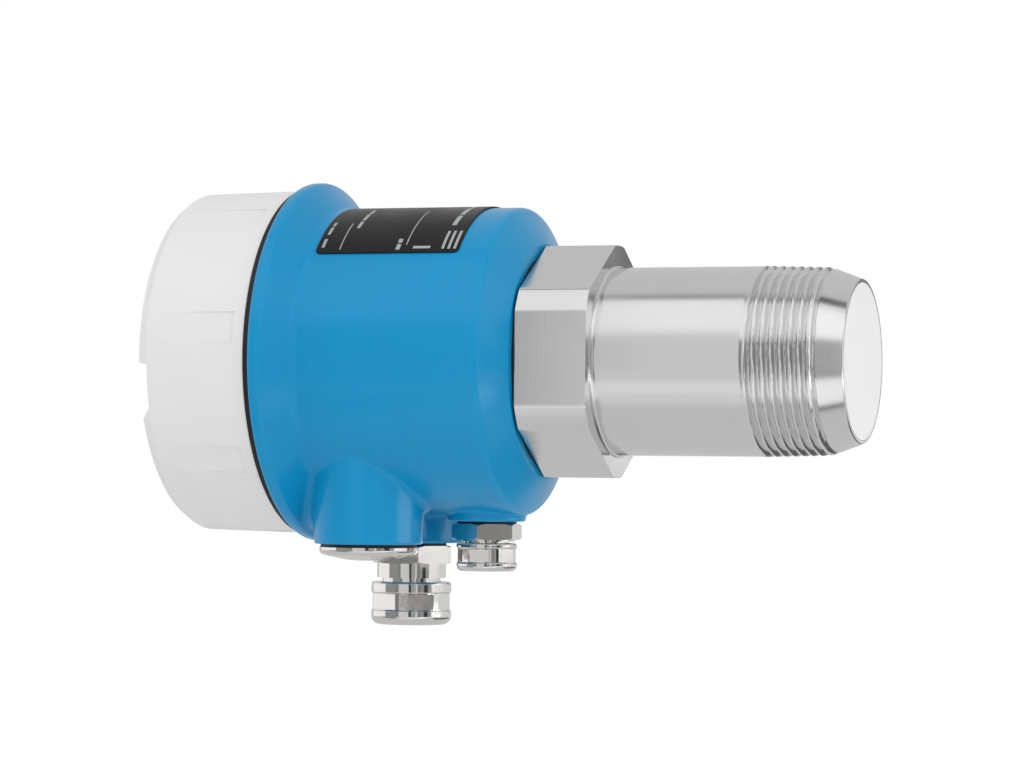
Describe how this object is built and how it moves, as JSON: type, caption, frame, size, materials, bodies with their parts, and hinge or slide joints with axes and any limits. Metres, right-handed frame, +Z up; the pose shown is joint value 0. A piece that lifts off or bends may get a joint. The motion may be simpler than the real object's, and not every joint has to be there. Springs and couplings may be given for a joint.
{
  "type": "microwave barrier receiver",
  "caption": "Compact microwave barrier receiver: screw cover, round cast housing with cable entries below, steel process connector with hexagon, pipe thread and flush window.",
  "frame": {"origin": "centre of the process window's flush front face, on the sensor axis", "axes": "+X along the sensor axis out of the window towards the process, +Z up, the cable entries point along -Z"},
  "size_m": [0.1772, 0.0928, 0.1146],
  "materials": {
    "housing_paint": "semi-gloss powder coat on die-cast aluminium",
    "cover_plastic": "moulded, fine satin",
    "seal_rubber": "smooth",
    "plate_print": "printed foil, satin black",
    "connector_steel": "fine turned stainless steel",
    "nut_steel": "turned",
    "horn_aluminium": "turned",
    "window_plastic": "turned fluoropolymer, silky white",
    "module_can": "milled",
    "board_laminate": "green solder mask",
    "screw_steel": "zinc plated",
    "insert_plastic": "moulded, fine grain",
    "pillar_brass": "turned",
    "relay_plastic": "moulded",
    "transformer_core": "varnished laminations",
    "capacitor_can": "sleeved",
    "switch_plastic": "moulded",
    "knob_plastic": "moulded",
    "slider_plastic": "moulded",
    "green_lamp": "tinted clear",
    "yellow_lamp": "tinted clear",
    "terminal_plastic": "moulded",
    "nickel_plate": "bright nickel plate on brass",
    "clamp_nylon": "moulded"
  },
  "bodies": {
    "root": {"housing": "housing_paint", "name_plate": "plate_print", "process_connector": "connector_steel", "sensor_seal": "seal_rubber", "lock_nut": "nut_steel", "horn_antenna": "horn_aluminium", "process_window": "window_plastic", "window_seal": "seal_rubber", "microwave_module": "module_can", "module_screws": "screw_steel", "module_board": "board_laminate", "link_plug": "switch_plastic", "insert_case": "insert_plastic", "insert_back_plate": "insert_plastic", "insert_screws": "screw_steel", "control_board": "board_laminate", "main_board": "board_laminate", "board_pillars": "pillar_brass", "relay": "relay_plastic", "transformer": "transformer_core", "capacitors": "capacitor_can", "switch_bases": "switch_plastic", "slide_switch_base": "switch_plastic", "ready_lamp": "green_lamp", "signal_lamp": "yellow_lamp", "terminal_block": "terminal_plastic", "terminal_screws": "screw_steel", "earth_clamp_plate": "screw_steel", "earth_screw": "screw_steel", "blind_plug": "nickel_plate", "blind_plug_seal": "seal_rubber", "cable_gland_body": "nickel_plate", "cable_gland_ring": "seal_rubber", "cable_gland_insert": "seal_rubber", "small_gland_body": "nickel_plate", "small_gland_ring": "seal_rubber", "small_gland_insert": "seal_rubber"},
    "cover_ring": {"cover_seal": "seal_rubber"},
    "cover": {"cover": "cover_plastic"},
    "cable_gland_cage": {"cable_gland_clamp": "clamp_nylon"},
    "cable_gland_cap": {"cable_gland_nut": "nickel_plate"},
    "small_gland_cage": {"small_gland_clamp": "clamp_nylon"},
    "small_gland_cap": {"small_gland_nut": "nickel_plate"},
    "sensitivity_knob": {"sensitivity_knob": "knob_plastic"},
    "delay_knob": {"delay_knob": "knob_plastic"},
    "slide_switch_1": {"slide_switch_1": "slider_plastic"},
    "slide_switch_2": {"slide_switch_2": "slider_plastic"},
    "slide_switch_3": {"slide_switch_3": "slider_plastic"},
    "slide_switch_4": {"slide_switch_4": "slider_plastic"}
  },
  "joints": [
    {"name": "cover_travel", "type": "slide", "parent": "root", "child": "cover_ring", "axis": [-1, 0, 0], "range_m": [0, 0.01205]},
    {"name": "cover_turn", "type": "hinge", "parent": "cover_ring", "child": "cover", "pos_m": [-0.14736, 0, 0], "axis": [-1, 0, 0], "range_deg": [0, 1440]},
    {"name": "cable_nut_travel", "type": "slide", "parent": "root", "child": "cable_gland_cage", "axis": [0, 0, -1], "range_m": [0, 0.00402]},
    {"name": "cable_nut_turn", "type": "hinge", "parent": "cable_gland_cage", "child": "cable_gland_cap", "pos_m": [-0.12476, 0.0154, -0.057], "axis": [0, 0, -1], "range_deg": [0, 960]},
    {"name": "small_nut_travel", "type": "slide", "parent": "root", "child": "small_gland_cage", "axis": [0, 0, -1], "range_m": [0, 0.00301]},
    {"name": "small_nut_turn", "type": "hinge", "parent": "small_gland_cage", "child": "small_gland_cap", "pos_m": [-0.09836, 0, -0.0463], "axis": [0, 0, -1], "range_deg": [0, 720]},
    {"name": "sensitivity_knob_turn", "type": "hinge", "parent": "root", "child": "sensitivity_knob", "pos_m": [-0.16276, -0.014, 0.011], "axis": [-1, 0, 0], "range_deg": [-135, 135]},
    {"name": "delay_knob_turn", "type": "hinge", "parent": "root", "child": "delay_knob", "pos_m": [-0.16276, 0.014, 0.011], "axis": [-1, 0, 0], "range_deg": [-135, 135]},
    {"name": "slide_switch_1_slide", "type": "slide", "parent": "root", "child": "slide_switch_1", "axis": [0, 0, 1], "range_m": [0, 0.0018]},
    {"name": "slide_switch_2_slide", "type": "slide", "parent": "root", "child": "slide_switch_2", "axis": [0, 0, 1], "range_m": [0, 0.0018]},
    {"name": "slide_switch_3_slide", "type": "slide", "parent": "root", "child": "slide_switch_3", "axis": [0, 0, 1], "range_m": [0, 0.0018]},
    {"name": "slide_switch_4_slide", "type": "slide", "parent": "root", "child": "slide_switch_4", "axis": [0, 0, 1], "range_m": [0, 0.0018]}
  ],
  "couplings": [
    {"joint": "cover_travel", "follows": "cover_turn", "m_per_rad": 0.00047746},
    {"joint": "cable_nut_travel", "follows": "cable_nut_turn", "m_per_rad": 0.00023873},
    {"joint": "small_nut_travel", "follows": "small_nut_turn", "m_per_rad": 0.00023873}
  ]
}
